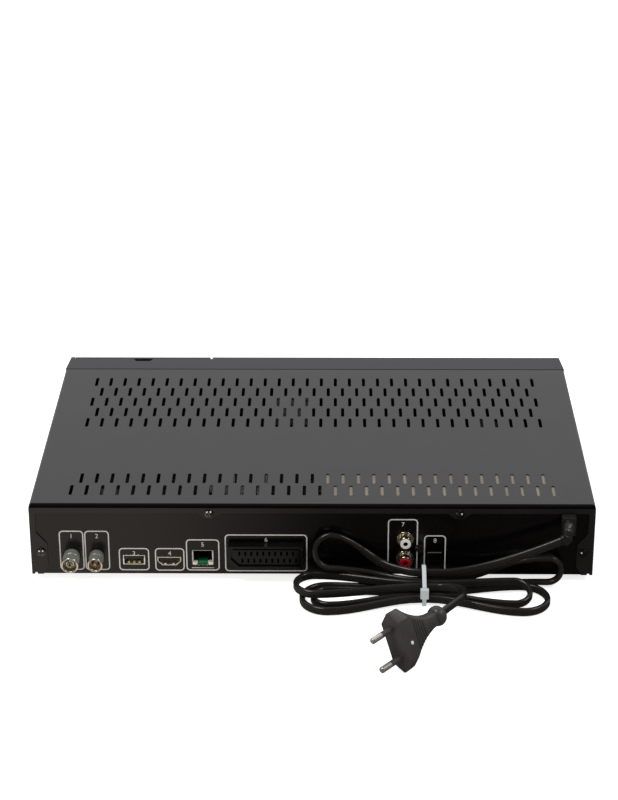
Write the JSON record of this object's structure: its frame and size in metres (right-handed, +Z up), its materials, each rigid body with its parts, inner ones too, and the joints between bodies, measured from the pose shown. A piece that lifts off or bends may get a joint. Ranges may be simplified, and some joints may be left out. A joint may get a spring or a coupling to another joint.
{
  "type": "digital television receiver",
  "caption": "Slim television receiver in a slotted steel case with a moulded front, a fold-down flap, rear sockets and a tied flat mains cord.",
  "frame": {"origin": "on the standing surface, under the middle of the case with its sockets and buttons, the free cord left out", "axes": "+Z up, +Y towards the front with the display, -Y towards the rear sockets, +X to the right seen from behind"},
  "size_m": [0.36, 0.3636, 0.054],
  "materials": {
    "zinc_steel": "zinc-plated sheet",
    "black_paint": "fine satin black paint",
    "insulator_sheet": "matt pressed sheet",
    "grey_moulding": "fine-textured dark grey",
    "smoked_plastic": "polished smoked",
    "black_plastic": "moulded black",
    "board_laminate": "green solder resist",
    "aluminium": "extruded",
    "winding_tape": "polyester tape",
    "capacitor_sleeve": "shrunk sleeve",
    "ribbon_plastic": "flexible grey",
    "nickel": "bright nickel plate",
    "white_plastic": "moulded white",
    "red_plastic": "moulded red",
    "foot_rubber": "matt black",
    "screw_steel": "blackened",
    "cord_plastic": "flexible satin black",
    "tie_nylon": "translucent natural"
  },
  "bodies": {
    "cabinet": {"chassis_tray": "zinc_steel", "rear_panel": "black_paint", "top_cover": "black_paint", "vent_insulator": "insulator_sheet", "front_bezel": "grey_moulding", "display_window": "smoked_plastic", "front_board": "board_laminate", "display_module": "black_plastic", "module_slot": "zinc_steel", "card_reader": "black_plastic", "main_board": "board_laminate", "power_board": "board_laminate", "decoder_chip": "black_plastic", "decoder_heat_sink": "aluminium", "power_heat_sink": "aluminium", "transformer": "winding_tape", "bulk_capacitor": "capacitor_sleeve", "mains_filter": "black_plastic", "front_ribbon": "ribbon_plastic", "supply_lead": "ribbon_plastic", "tuner_can": "zinc_steel", "antenna_in_socket": "nickel", "antenna_out_socket": "nickel", "usb_socket": "nickel", "hdmi_socket": "nickel", "network_socket": "nickel", "scart_socket": "black_plastic", "phono_block": "black_plastic", "phono_shell_left": "nickel", "phono_shell_right": "nickel", "phono_insert_left": "white_plastic", "phono_insert_right": "red_plastic", "optical_jack": "black_plastic", "foot_1": "foot_rubber", "foot_2": "foot_rubber", "foot_3": "foot_rubber", "foot_4": "foot_rubber", "cover_screw_top_1": "screw_steel", "cover_screw_top_2": "screw_steel", "cover_screw_side_1": "screw_steel", "cover_screw_side_2": "screw_steel", "phono_screw": "screw_steel", "board_screw_1": "screw_steel", "board_screw_2": "screw_steel", "board_screw_3": "screw_steel", "board_screw_4": "screw_steel", "strain_relief": "cord_plastic", "cord_lead": "cord_plastic", "cord_hank": "cord_plastic", "cord_tail": "cord_plastic", "cable_tie": "tie_nylon", "plug_body": "cord_plastic", "plug_pin_1": "nickel", "plug_pin_2": "nickel"},
    "flap": {"front_flap": "grey_moulding"},
    "standby_key": {"standby_button": "black_plastic"},
    "channel_down_key": {"channel_down_button": "black_plastic"},
    "channel_up_key": {"channel_up_button": "black_plastic"},
    "jack_shutter": {"optical_shutter": "black_plastic"}
  },
  "joints": [
    {"name": "flap_hinge", "type": "hinge", "parent": "cabinet", "child": "flap", "pos_m": [-0.125, 0.12285, 0.00975], "axis": [-1, 0, 0], "range_deg": [0, 90]},
    {"name": "standby_press", "type": "slide", "parent": "cabinet", "child": "standby_key", "axis": [0, -1, 0], "range_m": [0, 0.0007], "stiffness_N_per_m": 300},
    {"name": "channel_down_press", "type": "slide", "parent": "cabinet", "child": "channel_down_key", "axis": [0, -1, 0], "range_m": [0, 0.0007], "stiffness_N_per_m": 300},
    {"name": "channel_up_press", "type": "slide", "parent": "cabinet", "child": "channel_up_key", "axis": [0, -1, 0], "range_m": [0, 0.0007], "stiffness_N_per_m": 300},
    {"name": "shutter_hinge", "type": "hinge", "parent": "cabinet", "child": "jack_shutter", "pos_m": [0.0784, -0.1087, 0.0183], "axis": [1, 0, 0], "range_deg": [0, 78], "stiffness_Nm_per_rad": 0.00005}
  ]
}
